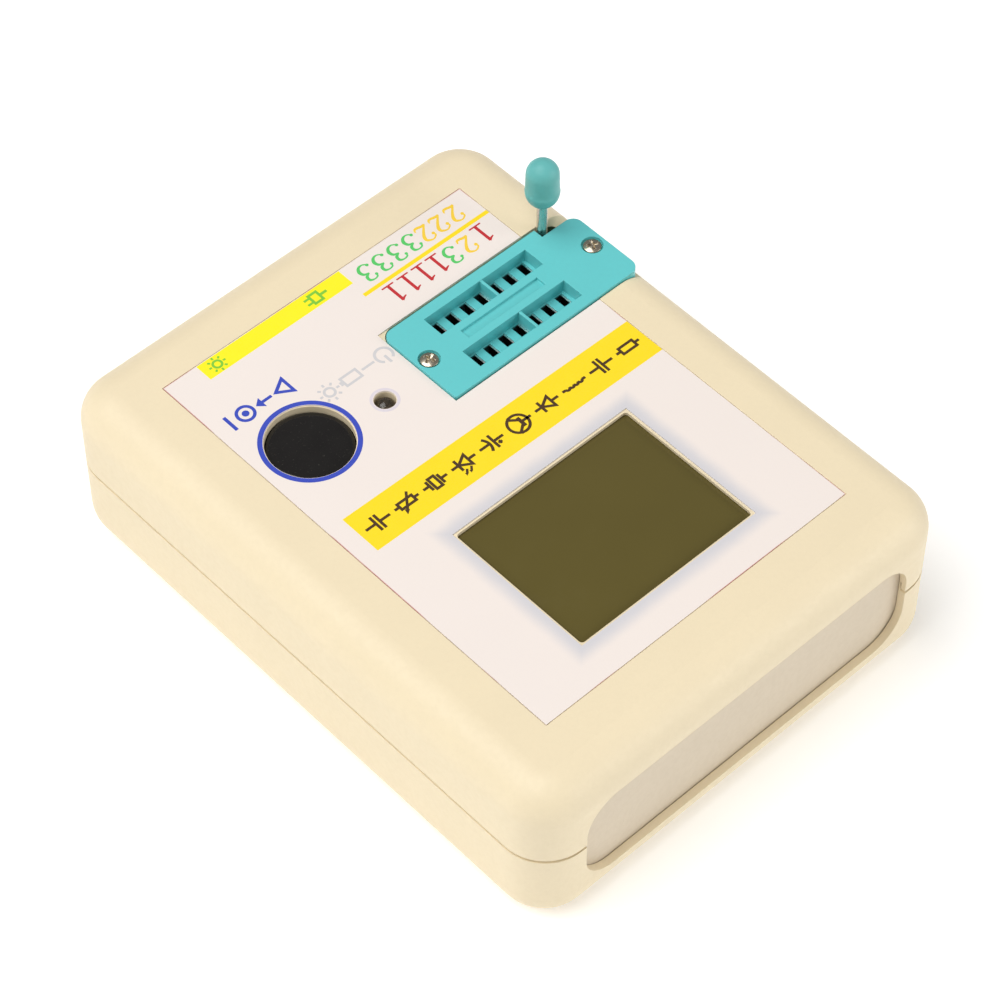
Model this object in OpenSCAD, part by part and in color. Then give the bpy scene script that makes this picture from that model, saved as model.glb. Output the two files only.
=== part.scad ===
// Pocket component tester: a two-part case with end panels, a printed overlay, a display,
// a start button, a power lamp and a lever-operated test socket. Millimetres, +Z up.
// The origin is the centre of the case on the surface that it stands on. +X is the reading
// direction of the overlay and +Y points to the display end.

/* [Case] */
// Width of the case along X
case_w = 70; // [70:0.5:71]
// Length of the case along Y
case_l = 90; // [90:0.5:91]
// Height of the case without the socket lever
case_h = 26; // [26:0.1:26.4]
// Radius of the four upright corners
corner_r = 6.5; // [6:0.5:7]
// Rounding of the top and bottom edges
edge_r = 5; // [4.6:0.1:5.2]
// Thickness of the top and bottom skins
skin = 1.4; // [1.2:0.1:1.4]
// Height of the joint between the two case halves
seam_z = 13.8; // [13:0.1:14.4]
// Width of the groove along the joint
seam_groove = 0.5; // [0.3:0.05:0.6]

/* [End panels] */
// Width of the opening at each end
port_w = 55.4; // [54:0.1:56]
// Height of the opening at each end
port_h = 15.2; // [15:0.1:15.4]
// Corner radius of the opening
port_r = 5; // [4:0.1:5.5]

/* [Overlay] */
// Width of the printed overlay
overlay_w = 51.1; // [50:0.1:51.6]
// Length of the printed overlay
overlay_l = 70.7; // [70:0.1:71.4]
// Thickness of the printed overlay
overlay_t = 0.2; // [0.15:0.05:0.3]
// Width of the display window
window_w = 29.8; // [28:0.1:30]
// Length of the display window
window_l = 23; // [22:0.1:23.4]
// Diameter of the button hole in the overlay
button_d = 11.9; // [11.7:0.1:12.2]
// Diameter of the lamp hole
lamp_hole_d = 2.9; // [2.9:0.1:3]

/* [Test socket] */
// Contacts in each of the two rows
contacts = 7; // [5:1:7]
// Distance between contacts
pitch = 2.54; // [2.5:0.01:2.54]
// Thickness of the socket cover
cover_t = 2.6; // [2.4:0.1:2.6]
// Height of the cover above the case
cover_rise = 0.4; // [0.3:0.1:0.6]
// Diameter of the lever rod
rod_d = 1.46; // [1.3:0.02:1.46]
// Travel of the contact slider
slider_travel = 0.9; // [0.7:0.05:0.9]
// Length of the lever knob
knob_l = 7.6; // [7:0.1:9]
// Largest diameter of the lever knob
knob_d = 4.7; // [4.4:0.1:4.8]

/* [Hidden] */
$fn = 64;
cut = 0.02;            // how far a cut runs past the face it opens
near = 0.1;            // close gap between pieces that locate each other
past = 1;              // how far a cutting block stands clear of what it cuts

// Case
half_w = case_w / 2;
half_l = case_l / 2;
side_wall = 2;
lip_t = 1.1;           // case wall in front of an end panel
panel_t = 1.6;
panel_slot = panel_t + 0.2;
rib_t = 1.1;           // case wall behind an end panel
panel_margin = 1;      // how far a panel reaches past its opening on each side
panel_room = 0.15;     // between a panel's rim and its slot
inner_edge_less = 1.6;
inner_edge_r = edge_r - inner_edge_less;
cavity_l = case_l - 2 * (lip_t + panel_slot + rib_t);
cavity_w = case_w - 2 * side_wall;
cavity_top = case_h - skin;
port_z = case_h / 2;
tongue_inset = 0.9;    // from the outside of the case to the tongue
tongue_rise = 1.2;
tongue_room = 0.15;
post_x = half_w - 6.8;
post_y = half_l - 8.6;
post_r = 3;
post_end = seam_z - 1.6;
foot_r = 3.5;
screw_hole_r = 1.7;
screw_head_r = 2.7;
screw_well_r = 3;
screw_well_z = 5;
screw_shank_r = 1.1;
screw_head_h = 2;
screw_tip = seam_z + 5;
pilot_gap = 0.05;
cross_w = 0.5;         // width of a screw's cross recess
cross_reach = 1.3;     // length of the recess in head radii
cross_depth = 0.6;

// Overlay and the holes under it
overlay_at = [-0.45, -0.4];
overlay_room = 0.1;
lamp_room = 0.05;      // overlay's lamp hole beyond the case's
window_at = [-0.85, 18];
window_lip = 0.3;      // case edge showing inside the overlay's window
window_r = 0.5;
button_at = [17.1, -16.55];
lamp_at = [5.7, -15.2];

// Main board, hung from four bosses
board = [64, 66, 1.6];
board_top = 17.2;
board_bottom = board_top - board[2];
boss_at = [27.5, 29.5];
boss_r = 2.5;
board_hole_r = 1.4;
board_screw_r = 1.05;
board_head_r = 2.2;
board_head_h = 1.4;
board_screw_tip = board_top + 5;

// Display
glass = [36, 28, 1.7];
glass_pocket = 0.7;    // recess for the glass in the underside of the skin
glass_room = 0.2;
glass_gap = 0.05;
glass_top = cavity_top + glass_pocket - glass_gap;
glass_bottom = glass_top - glass[2];
frame_size = [37, 27];
frame_wall = 1.2;
frame_step = 2;        // floor of the frame above the board
frame_shift = 0.75;    // frame moved towards +Y, clear of the pins
pins = 18;
pin_w = 0.4;
pin_pitch = 1.5;
pin_tail = 0.8;
pin_inset = 0.5;       // pin row from the edge of the glass
glass_shift = 0.1;

// Socket, laid along X
socket_at = [-17.25, -16.2];
cover = [32.7, 14.1];
cover_top = case_h + cover_rise;
cover_bottom = cover_top - cover_t;
cover_r = 1.5;
cover_sharp_r = 0.4;   // corner towards the display and the button
base_size = [30.7, 13.3];
opening_gap = [0.05, 0.6, 0.15];   // case opening beyond the cover at +X, -Y and +Y
opening_edge = 0.05;   // overlay's edge beyond the case opening
opening_r = 2.2;       // opening's round corner at +X, -Y
opening_floor = cavity_top - 2.1;
step_gap = 0.35;       // case wall below the cover's far end
notch_gap = 0.15;      // between the cover's step and the lever's slot
slot_mid_x = -15.92;
row_offset = 3.68;
slot_shift_y = -0.64;  // slots off the middle of their wells
slot = [1.3, 2];
well = [17.9, 3.45];
well_depth = 2.1;
well_mid_x = -15.7;
divider_x = -16.78;
divider_t = 0.4;
divider_drop = 0.1;
name_recess = [13.5, 1.6, 0.45];
notch_x = -27.85;      // where the cover and base step back for the lever
notch_y = -21.7;
socket_screw_x = 14.45;
socket_screw_r = 0.75;
socket_head_r = 1.3;
socket_well_r = 1.5;
socket_head_well = 0.5;
socket_head_h = 0.65;
socket_cross = 0.35;   // depth of the cross recess
socket_screw_tip = 20;
pilot_extra = 0.5;     // pilot hole below the tip
pocket_z = 21.7;       // floor of the slider's pocket
pocket = [-27.9, -5.2];
pocket_l = 12;
slider = [-26.6, -5.6];
slider_l = 11.6;
slider_z = [21.9, 23.6];
slider_slot = [-0.75, 1.05, 1.1];
tail_root = 0.5;       // fork's overlap with the slider plate
contact = [0.2, 1.9];
contact_x = -0.5;
contact_z = [18.6, 24.2];
contact_pin = [0.4, 0.5];
contact_root = 0.2;    // pin's overlap with its contact
contact_hole_r = 0.45;
contact_pin_tip = board_bottom - 1;
cell_depth_z = 18.4;   // floor of a contact's cell in the base

// Lever: a bent rod whose cranked middle draws the slider along
rod_r = rod_d / 2;
lever_x = -28.8;
lever_y = -22.78;
lever_z = 22;
crank = [-20.2, -16.3];
shaft_end = -10.6;
shaft_room = 0.07;
swing_room = 0.3;
rod_top = 33.5;
knob_foot = 31.4;
knob_seat_r = 1.25;
knob_collar_z = 1.9;
knob_collar_h = 0.3;
knob_round = 2.24;
tail = [-30.3, -19.2, -17.3];      // far end and sides of the slider's fork
tail_z = [20.4, 23.4];
fork = [-29.75, -27.85, 21];
pit = [-30.7, -26, -21, -15.4];
pit_z = 20.1;
tail_pit = [-31.5, -19.5, -17];

// Small parts of the main board
chip_at = [-8, -2.6];
crystal_at = [8, -3];
small_chip_h = 1.4;
capacitor_x = [-9, -2];
capacitor_y = -28;
capacitor_h = 5.4;

// Button
cap_r = 5.7;
cap_top = cavity_top + 0.6;
cap_bottom = 21.4;
cap_flange_r = 6.6;
cap_flange = [23.2, 24.3];
stem_w = 3.7;
stem_top = 23;
collar_r = 3.3;
collar_z = [19.2, 21.1];
switch_w = 12;
switch_top = 20.5;
switch_floor = 18.7;
switch_bore_r = 3.5;

// Battery and charger, in the bottom half
cell = [34, 48, 6.5];
cell_at = [0, 4];
cell_r = 1.5;
cell_rib = [1.2, 6, 3];    // ribs beside the cell: width, how much shorter, height
pad_t = 0.5;
pad_inset = [6, 8];
charger = [30, 13.4, 1.2];
charger_at = [6, -33.4];
charger_z = 9;
charger_chip = [5, 4, 1.5];
charger_chip_at = [1, 2.5];
rail_w = 2;            // rails under the charger board
usb_x = 1;
usb = [7.5, 5.6, 2.6];
usb_front = half_l - lip_t - 0.4;
usb_r = 0.5;
usb_inner_r = 0.3;
usb_hole = [8.5, 3.6];
usb_hole_r = 0.6;
charge_x = 17;
lamp_r = 1.45;
lamp_flange_r = 1.7;
lamp_flange_h = 1;
lamp_lead_gap = 1.27;
lamp_rise = 1.2;       // power lamp's crown above the cavity's top
lamp_stand = 3.1;      // its flange above the board
charge_lamp_l = 4.4;
charge_lead_l = 2;
charge_z = charger_z + charger[2] + lamp_flange_r + near;
lead_r = 0.6;
lead_steps = 5;
lead_sides = 8;
lead_side = [0.6, 0.5, -0.6];    // a direction that no lead runs along
plug_at = [25, 17.2];
plug = [6, 3.6];
plug_drop = [0.6, 4];  // plug's ends below the board
header_wall = 1;
header_drop = 3.6;

rear_inside = -half_l + lip_t + panel_slot;
usb_z = charger_z + charger[2] + usb[2] / 2;

// ---- shared shapes ----

// Rectangle with round corners, centred
module round_rect(w, l, r) {
    square([w - 2 * r, l], center = true);
    square([w, l - 2 * r], center = true);
    for (x = [-1, 1], y = [-1, 1])
        translate([x * (w / 2 - r), y * (l / 2 - r)])
            circle(r);
}

// Box with upright corners of one radius and top and bottom edges of a smaller one
module soft_box(w, l, h, corner, edge) {
    translate([0, 0, h / 2]) {
        rotate([90, 0, 0])
            linear_extrude(l - 2 * corner, center = true)
                round_rect(w, h, edge);
        rotate([90, 0, 90])
            linear_extrude(w - 2 * corner, center = true)
                round_rect(l, h, edge);
        for (x = [-1, 1], y = [-1, 1])
            translate([x * (w / 2 - corner), y * (l / 2 - corner), 0])
                rotate(y > 0 ? 45 - 45 * x : 225 + 45 * x)
                    rotate_extrude(angle = 90)
                        intersection() {
                            round_rect(2 * corner, h, edge);
                            translate([0, -h / 2])
                                square([corner, h]);
                        }
    }
}

module prism(w, l, z0, z1) {
    translate([-w / 2, -l / 2, z0])
        cube([w, l, z1 - z0]);
}

// Box between two corners
module span(low, high) {
    translate(low)
        cube(high - low);
}

module disc(r, z0, z1) {
    translate([0, 0, z0])
        cylinder(r = r, h = z1 - z0);
}

module at_corners(x, y) {
    for (sx = [-1, 1], sy = [-1, 1])
        translate([sx * x, sy * y, 0])
            children();
}

// Rod along Y
module rod_y(r, y0, y1) {
    translate([0, y0, 0])
        rotate([-90, 0, 0])
            cylinder(r = r, h = y1 - y0);
}

// Cross recess of a screw head of radius r
module cross_recess(r, z0, z1) {
    prism(cross_reach * r, cross_w, z0, z1);
    prism(cross_w, cross_reach * r, z0, z1);
}

// Square-cornered run of round rod through a list of points
module bent_rod(points, r) {
    for (i = [1 : len(points) - 1]) {
        step = points[i] - points[i - 1];
        length = norm(step);
        translate(points[i - 1])
            rotate([0, acos(step[2] / length), atan2(step[1], step[0])])
                cylinder(r = r, h = length);
        translate(points[i])
            sphere(r);
    }
}

// Point at fraction t between b and c on the smooth curve through a, b, c and d
function curve_point(a, b, c, d, t) =
    b + 0.5 * t * (c - a + t * (2 * a - 5 * b + 4 * c - d + t * (3 * (b - c) + d - a)));

// Smooth route through the points, with lead_steps stretches between neighbours
function smooth_route(p) = concat(
    [for (i = [0 : len(p) - 2], k = [0 : lead_steps - 1])
        curve_point(p[max(i - 1, 0)], p[i], p[i + 1], p[min(i + 2, len(p) - 1)], k / lead_steps)],
    [p[len(p) - 1]]
);

// Soft insulated lead: rings of points square to the route, joined into one tube
module lead(points) {
    route = smooth_route(points);
    last = len(route) - 1;
    rings = [for (i = [0 : last])
        let (
            along = i == 0 ? points[1] - points[0]
                : i == last ? points[len(points) - 1] - points[len(points) - 2]
                : route[i + 1] - route[i - 1],
            ahead = along / norm(along),
            side_way = cross(ahead, lead_side),
            side_unit = side_way / norm(side_way),
            up_unit = cross(ahead, side_unit)
        )
        for (k = [0 : lead_sides - 1])
            let (a = 360 * k / lead_sides)
            route[i] + lead_r * (cos(a) * side_unit + sin(a) * up_unit)];
    ring_faces = [for (i = [0 : last - 1], k = [0 : lead_sides - 1])
        let (a = i * lead_sides + k, b = i * lead_sides + (k + 1) % lead_sides)
        each [[b, a, b + lead_sides], [b + lead_sides, a, a + lead_sides]]];
    start_face = [for (k = [0 : lead_sides - 1]) k];
    end_face = [for (k = [0 : lead_sides - 1]) (last + 1) * lead_sides - 1 - k];
    polyhedron(rings, concat(ring_faces, [start_face, end_face]), convexity = 4);
}

// ---- case ----

module case_outside() {
    soft_box(case_w, case_l, case_h, corner_r, edge_r);
}

module case_inside() {
    translate([0, 0, skin])
        soft_box(cavity_w, cavity_l, case_h - 2 * skin, corner_r - side_wall, inner_edge_r);
}

// Openings and panel slots at both ends
module end_cuts() {
    for (side = [-1, 1])
        translate([0, side * half_l, port_z])
            rotate([90, 0, 0]) {
                linear_extrude(2 * (lip_t + panel_slot + rib_t) + past, center = true)
                    round_rect(port_w, port_h, port_r);
                translate([0, 0, side * (lip_t + panel_slot / 2)])
                    linear_extrude(panel_slot, center = true)
                        round_rect(port_w + 2 * panel_margin + 2 * panel_room,
                                   port_h + 2 * panel_margin + 2 * panel_room,
                                   port_r + panel_margin);
            }
}

// Upright ring that follows the case outline between two insets
module outline_ring(inset0, inset1, z0, z1) {
    translate([0, 0, z0])
        linear_extrude(z1 - z0)
            difference() {
                round_rect(case_w - 2 * inset0, case_l - 2 * inset0, corner_r - inset0);
                round_rect(case_w - 2 * inset1, case_l - 2 * inset1, corner_r - inset1);
            }
}

module socket_opening() {
    x1 = socket_at[0] + cover[0] / 2 + opening_gap[0];
    y0 = socket_at[1] - cover[1] / 2 - opening_gap[1];
    y1 = socket_at[1] + cover[1] / 2 + opening_gap[2];
    inside = -half_w + side_wall;
    difference() {
        span([inside - cut, y0, opening_floor], [x1, y1, case_h + past]);
        translate([x1 - opening_r, y0 + opening_r, 0])
            difference() {
                span([0, -opening_r - past, opening_floor - past],
                     [opening_r + past, 0, case_h + 2 * past]);
                disc(opening_r, opening_floor - 2 * past, case_h + 3 * past);
            }
    }
    span([-half_w - past, y0, cover_bottom - step_gap], [inside, y1, case_h + past]);
    span([-half_w - past, y0, lever_z - rod_r - swing_room],
         [inside + past, notch_y + notch_gap, case_h + past]);
}

module top_shell() {
    color("#f4e6c6")
        difference() {
            union() {
                difference() {
                    intersection() {
                        case_outside();
                        prism(case_w + 2 * past, case_l + 2 * past,
                              seam_z + seam_groove / 2, case_h + past);
                    }
                    case_inside();
                }
                at_corners(post_x, post_y)
                    disc(post_r, post_end, cavity_top + cut);
                at_corners(boss_at[0], boss_at[1])
                    disc(boss_r, board_top, cavity_top + cut);
            }
            outline_ring(tongue_inset - tongue_room, side_wall + past,
                         seam_z, seam_z + tongue_rise + tongue_room);
            end_cuts();
            socket_opening();
            translate([overlay_at[0], overlay_at[1], 0])
                prism(overlay_w + 2 * overlay_room, overlay_l + 2 * overlay_room,
                      case_h - overlay_t, case_h + past);
            translate([window_at[0], window_at[1], cavity_top - past])
                linear_extrude(skin + 2 * past)
                    round_rect(window_w - 2 * window_lip, window_l - 2 * window_lip, window_r);
            translate([window_at[0], window_at[1] - glass_shift, 0])
                prism(glass[0] + 2 * glass_room, glass[1] + 2 * glass_room,
                      cavity_top - past, cavity_top + glass_pocket);
            translate([button_at[0], button_at[1], 0])
                disc(button_d / 2 - near, cavity_top - past, case_h + past);
            translate([lamp_at[0], lamp_at[1], 0])
                disc(lamp_hole_d / 2, cavity_top - past, case_h + past);
            at_corners(post_x, post_y)
                disc(screw_shank_r + pilot_gap, post_end - past, screw_tip + past);
            at_corners(boss_at[0], boss_at[1])
                disc(board_screw_r + pilot_gap, board_top - past, board_screw_tip + past);
        }
}

module bottom_shell() {
    color("#f2e3c2")
        difference() {
            union() {
                difference() {
                    intersection() {
                        case_outside();
                        prism(case_w + 2 * past, case_l + 2 * past, -past, seam_z - seam_groove / 2);
                    }
                    case_inside();
                }
                outline_ring(tongue_inset, side_wall, seam_z - past, seam_z + tongue_rise);
                at_corners(post_x, post_y)
                    disc(foot_r, skin - cut, post_end - near);
                // rails that carry the charger board
                for (x = [-1, 1])
                    translate([charger_at[0] + x * (charger[0] / 2 - rail_w), charger_at[1], 0])
                        prism(rail_w, charger[1] - rail_w, skin - cut, charger_z);
                // low ribs beside the battery
                for (x = [-1, 1])
                    translate([cell_at[0] + x * (cell[0] / 2 + cell_rib[0]), cell_at[1], 0])
                        prism(cell_rib[0], cell[1] - cell_rib[1], skin - cut, skin + cell_rib[2]);
            }
            end_cuts();
            at_corners(post_x, post_y) {
                disc(screw_well_r, -past, screw_well_z);
                disc(screw_hole_r, -past, seam_z);
            }
        }
}

module panel_plate() {
    rotate([90, 0, 0])
        linear_extrude(panel_t, center = true)
            round_rect(port_w + 2 * panel_margin, port_h + 2 * panel_margin,
                       port_r + panel_margin - panel_room);
}

module front_panel() {
    color("#d8ccb6")
        translate([0, half_l - lip_t - panel_slot / 2, port_z])
            panel_plate();
}

module rear_panel() {
    color("#d8ccb6")
        difference() {
            translate([0, -half_l + lip_t + panel_slot / 2, port_z])
                panel_plate();
            translate([usb_x, -half_l + lip_t + panel_slot / 2, usb_z])
                rotate([90, 0, 0])
                    linear_extrude(panel_t + past, center = true)
                        round_rect(usb_hole[0], usb_hole[1], usb_hole_r);
            translate([charge_x, 0, charge_z])
                rod_y(lamp_r + near, -half_l, rear_inside + past);
        }
}

module case_screws() {
    color("#8d8f92")
        at_corners(post_x, post_y)
            difference() {
                union() {
                    disc(screw_head_r, screw_well_z - screw_head_h, screw_well_z);
                    disc(screw_shank_r, screw_well_z - cut, screw_tip);
                }
                cross_recess(screw_head_r, 0, screw_well_z - screw_head_h + cross_depth);
            }
}

module overlay() {
    left = overlay_at[0] - overlay_w / 2;
    color("#f7efe8")
        difference() {
            translate([overlay_at[0], overlay_at[1], 0])
                prism(overlay_w, overlay_l, case_h - overlay_t, case_h);
            translate([window_at[0], window_at[1], 0])
                prism(window_w, window_l, case_h - past, case_h + past);
            translate([button_at[0], button_at[1], 0])
                disc(button_d / 2, case_h - past, case_h + past);
            translate([lamp_at[0], lamp_at[1], 0])
                disc(lamp_hole_d / 2 + lamp_room, case_h - past, case_h + past);
            span([left - past, socket_at[1] - cover[1] / 2 - opening_gap[1] - opening_edge,
                  case_h - past],
                 [socket_at[0] + cover[0] / 2 + opening_gap[0] + opening_edge,
                  socket_at[1] + cover[1] / 2 + opening_gap[2] + opening_edge, case_h + past]);
        }
}

// ---- main board and what it carries ----

module main_board() {
    color("#1f6b3a")
        difference() {
            prism(board[0], board[1], board_bottom, board_top);
            at_corners(boss_at[0], boss_at[1])
                disc(board_hole_r, board_bottom - past, board_top + past);
            socket_grid()
                translate([contact_x, 0, 0])
                    disc(contact_hole_r, board_bottom - past, board_top + past);
            display_row()
                prism(pin_w + near, pin_w + near, board_bottom - past, board_top + past);
        }
}

module board_screws() {
    color("#b9bcc0")
        at_corners(boss_at[0], boss_at[1])
            difference() {
                union() {
                    disc(board_head_r, board_bottom - board_head_h, board_bottom);
                    disc(board_screw_r, board_bottom - cut, board_screw_tip);
                }
                cross_recess(board_head_r, board_bottom - board_head_h - past,
                             board_bottom - board_head_h + cross_depth);
            }
}

module display_glass() {
    color("#645a30")
        translate([window_at[0], window_at[1] - glass_shift, 0])
            prism(glass[0], glass[1], glass_bottom, glass_top);
}

module display_frame() {
    inner = [frame_size[0] - 2 * frame_wall, frame_size[1] - 2 * frame_wall];
    color("#2b2b2b")
        translate([window_at[0], window_at[1] + frame_shift, 0])
            difference() {
                prism(frame_size[0], frame_size[1], board_top, glass_bottom);
                prism(inner[0], inner[1], board_top + frame_step, glass_bottom + past);
            }
}

module display_diffuser() {
    room = frame_wall + near;
    color("#f2f4f5")
        translate([window_at[0], window_at[1] + frame_shift, 0])
            prism(frame_size[0] - 2 * room, frame_size[1] - 2 * room,
                  board_top + frame_step, glass_bottom);
}

module display_row() {
    row_y = window_at[1] - glass_shift - glass[1] / 2 + pin_inset;
    for (i = [0 : pins - 1])
        translate([window_at[0] + (i - (pins - 1) / 2) * pin_pitch, row_y, 0])
            children();
}

module display_pins() {
    color("#c9cbcf")
        display_row()
            prism(pin_w, pin_w, board_bottom - pin_tail, glass_bottom);
}

module power_lamp() {
    dome_z = cavity_top + lamp_rise - lamp_r;
    flange = [board_top + lamp_stand, board_top + lamp_stand + lamp_flange_h];
    color("#e8ece8")
        translate([lamp_at[0], lamp_at[1], 0]) {
            disc(lamp_flange_r, flange[0], flange[1]);
            disc(lamp_r, flange[0], dome_z);
            translate([0, 0, dome_z])
                sphere(lamp_r);
            for (x = [-1, 1])
                translate([x * lamp_lead_gap, 0, 0])
                    prism(pin_w, pin_w, board_top, flange[0] + cut);
        }
}

// Square chip on the underside of the board with legs on all four sides
module microcontroller() {
    body_w = 7;
    body_h = 1;
    legs = 8;
    leg_pitch = 0.8;
    leg = [0.35, 9, 0.2];
    color("#26282b")
        translate([chip_at[0], chip_at[1], board_bottom]) {
            prism(body_w, body_w, -body_h - near, -near);
            for (turn = [0, 90])
                rotate(turn)
                    for (i = [0 : legs - 1])
                        translate([(i - (legs - 1) / 2) * leg_pitch, 0, 0])
                            prism(leg[0], leg[1], -leg[2], 0);
        }
}

module crystal() {
    can = [11, 4.6, 3.5];
    color("#c8ccd0")
        translate([crystal_at[0], crystal_at[1], board_bottom - can[2]])
            linear_extrude(can[2])
                round_rect(can[0], can[1], can[1] / 2 - near);
}

module small_chips() {
    places = [[24, 2, 5, 4], [24, 10, 3, 3], [24, 17, 3, 3], [-27, 4, 5, 4], [-27, 14, 3, 3]];
    color("#303236")
        for (p = places)
            translate([p[0], p[1], 0])
                prism(p[2], p[3], board_top, board_top + small_chip_h);
}

module capacitors() {
    can_r = 2.5;
    color("#7f8790")
        for (x = capacitor_x)
            translate([x, capacitor_y, 0])
                disc(can_r, board_top, board_top + capacitor_h);
}

// ---- button ----

module button_cap() {
    color("#1b1b1d")
        translate([button_at[0], button_at[1], 0])
            difference() {
                union() {
                    disc(cap_r, cap_bottom, cap_top);
                    disc(cap_flange_r, cap_flange[0], cap_flange[1]);
                }
                prism(stem_w + near, stem_w + near, cap_bottom - past, stem_top);
            }
}

module button_plunger() {
    color("#3a3a3d")
        translate([button_at[0], button_at[1], 0]) {
            disc(collar_r, collar_z[0], collar_z[1]);
            prism(stem_w, stem_w, collar_z[0], stem_top);
        }
}

module button_switch() {
    leg = [1, 14.4, 0.3];
    leg_x = 2.5;
    color("#2a2a2c")
        translate([button_at[0], button_at[1], 0]) {
            difference() {
                prism(switch_w, switch_w, board_top, switch_top);
                disc(switch_bore_r, switch_floor, switch_top + past);
            }
            for (x = [-leg_x, leg_x])
                translate([x, 0, 0])
                    prism(leg[0], leg[1], board_top, board_top + leg[2]);
        }
}

// ---- test socket ----

// Puts its children at every contact position
module socket_grid() {
    for (side = [-1, 1], i = [0 : contacts - 1])
        translate([slot_mid_x + (i - (contacts - 1) / 2) * pitch,
                   socket_at[1] + side * row_offset + slot_shift_y, 0])
            children();
}

module lever_notch(z0) {
    span([socket_at[0] - cover[0], socket_at[1] - cover[1], z0],
         [notch_x, notch_y, cover_top + past]);
}

module socket_screw_places() {
    for (x = [-1, 1])
        translate([socket_at[0] + x * socket_screw_x, socket_at[1], 0])
            children();
}

module socket_base() {
    color("#58c4c4")
        difference() {
            translate([socket_at[0], socket_at[1], 0])
                prism(base_size[0], base_size[1], board_top, cover_bottom);
            lever_notch(lever_z - rod_r - swing_room);
            span([pocket[0], socket_at[1] - pocket_l / 2, pocket_z],
                 [pocket[1], socket_at[1] + pocket_l / 2, cover_bottom + past]);
            span([pit[0], pit[2], pit_z], [pit[1], pit[3], cover_bottom + past]);
            span([tail_pit[0], tail_pit[1], pit_z], [pit[1], tail_pit[2], cover_bottom + past]);
            translate([lever_x, 0, lever_z])
                rod_y(rod_r + shaft_room, socket_at[1] - base_size[1], shaft_end + swing_room);
            span([lever_x - rod_r - shaft_room, socket_at[1] - base_size[1], lever_z],
                 [lever_x + rod_r + shaft_room, shaft_end + swing_room, cover_bottom + past]);
            socket_grid() {
                span([slider_slot[0], -slider_slot[2], cell_depth_z],
                     [slider_slot[1], slider_slot[2], pocket_z + past]);
                translate([contact_x, 0, 0])
                    prism(contact_pin[0] + near, contact_pin[1] + near,
                          board_top - past, cell_depth_z + past);
            }
            socket_screw_places()
                disc(socket_screw_r + pilot_gap, socket_screw_tip - pilot_extra,
                     cover_bottom + past);
        }
}

// Outline of the cover: full width up to the lever, then a round-cornered tongue beside it
module cover_outline() {
    low = notch_y - socket_at[1];
    high = cover[1] / 2;
    far_x = -cover[0] / 2;
    step_x = notch_x - socket_at[0];
    tongue_w = step_x + 2 * cover_r - far_x;
    difference() {
        round_rect(cover[0], cover[1], cover_r);
        translate([far_x - past, -high - past])
            square([step_x - far_x + past, cover[1] + 2 * past]);
    }
    translate([far_x + tongue_w / 2, (low + high) / 2])
        round_rect(tongue_w, high - low, cover_r);
    translate([cover[0] / 2 - cover_r, high - cover_r])
        round_rect(2 * cover_r, 2 * cover_r, cover_sharp_r);
}

module socket_cover() {
    floor_z = cover_top - well_depth;
    color("#6ecfcf")
        difference() {
            union() {
                difference() {
                    translate([socket_at[0], socket_at[1], cover_bottom])
                        linear_extrude(cover_t)
                            cover_outline();
                    for (side = [-1, 1])
                        translate([well_mid_x, socket_at[1] + side * row_offset, 0])
                            prism(well[0], well[1], floor_z, cover_top + past);
                }
                for (side = [-1, 1])
                    translate([divider_x, socket_at[1] + side * row_offset, 0])
                        prism(divider_t, well[1] + 2 * cut, floor_z - cut,
                              cover_top - divider_drop);
            }
            socket_grid()
                prism(slot[0], slot[1], cover_bottom - past, floor_z + cut);
            translate([well_mid_x, socket_at[1], 0])
                prism(name_recess[0], name_recess[1], cover_top - name_recess[2], cover_top + past);
            socket_screw_places() {
                disc(socket_screw_r + near, cover_bottom - past, cover_top + past);
                disc(socket_well_r, cover_top - socket_head_well, cover_top + past);
            }
        }
}

module socket_screws() {
    head_z = cover_top - socket_head_well;
    color("#b7a98c")
        socket_screw_places()
            difference() {
                union() {
                    disc(socket_screw_r, socket_screw_tip, head_z + cut);
                    disc(socket_head_r, head_z, head_z + socket_head_h);
                }
                cross_recess(socket_head_r, head_z + socket_head_h - socket_cross, cover_top + past);
            }
}

module socket_slider() {
    color("#57bcbc")
        difference() {
            union() {
                span([slider[0], socket_at[1] - slider_l / 2, slider_z[0]],
                     [slider[1], socket_at[1] + slider_l / 2, slider_z[1]]);
                span([tail[0], tail[1], tail_z[0]], [slider[0] + tail_root, tail[2], tail_z[1]]);
            }
            span([fork[0], tail[1] - past, fork[2]], [fork[1], tail[2] + past, cover_top]);
            span([slider[0] + cut, tail[1] - past, tail_z[0] - past],
                 [slider[0] + past, tail[2] + past, slider_z[0]]);
            socket_grid()
                span([slider_slot[0], -slider_slot[2], slider_z[0] - past],
                     [slider_slot[1], slider_slot[2], slider_z[1] + past]);
        }
}

module socket_contacts() {
    color("#d8dadc")
        socket_grid()
            translate([contact_x, 0, 0]) {
                prism(contact[0], contact[1], contact_z[0], contact_z[1]);
                prism(contact_pin[0], contact_pin[1], contact_pin_tip, contact_z[0] + contact_root);
            }
}

// Bent steel rod: upright arm, cross shaft and the crank that moves the slider
module lever_rod() {
    crank_z = lever_z + slider_travel;
    path = [
        [lever_x, lever_y, rod_top],
        [lever_x, lever_y, lever_z],
        [lever_x, crank[0], lever_z],
        [lever_x, crank[0], crank_z],
        [lever_x, crank[1], crank_z],
        [lever_x, crank[1], lever_z]
    ];
    color("#b9babc") {
        bent_rod(path, rod_r);
        translate([lever_x, 0, lever_z])
            rod_y(rod_r, crank[1], shaft_end);
    }
}

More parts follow.
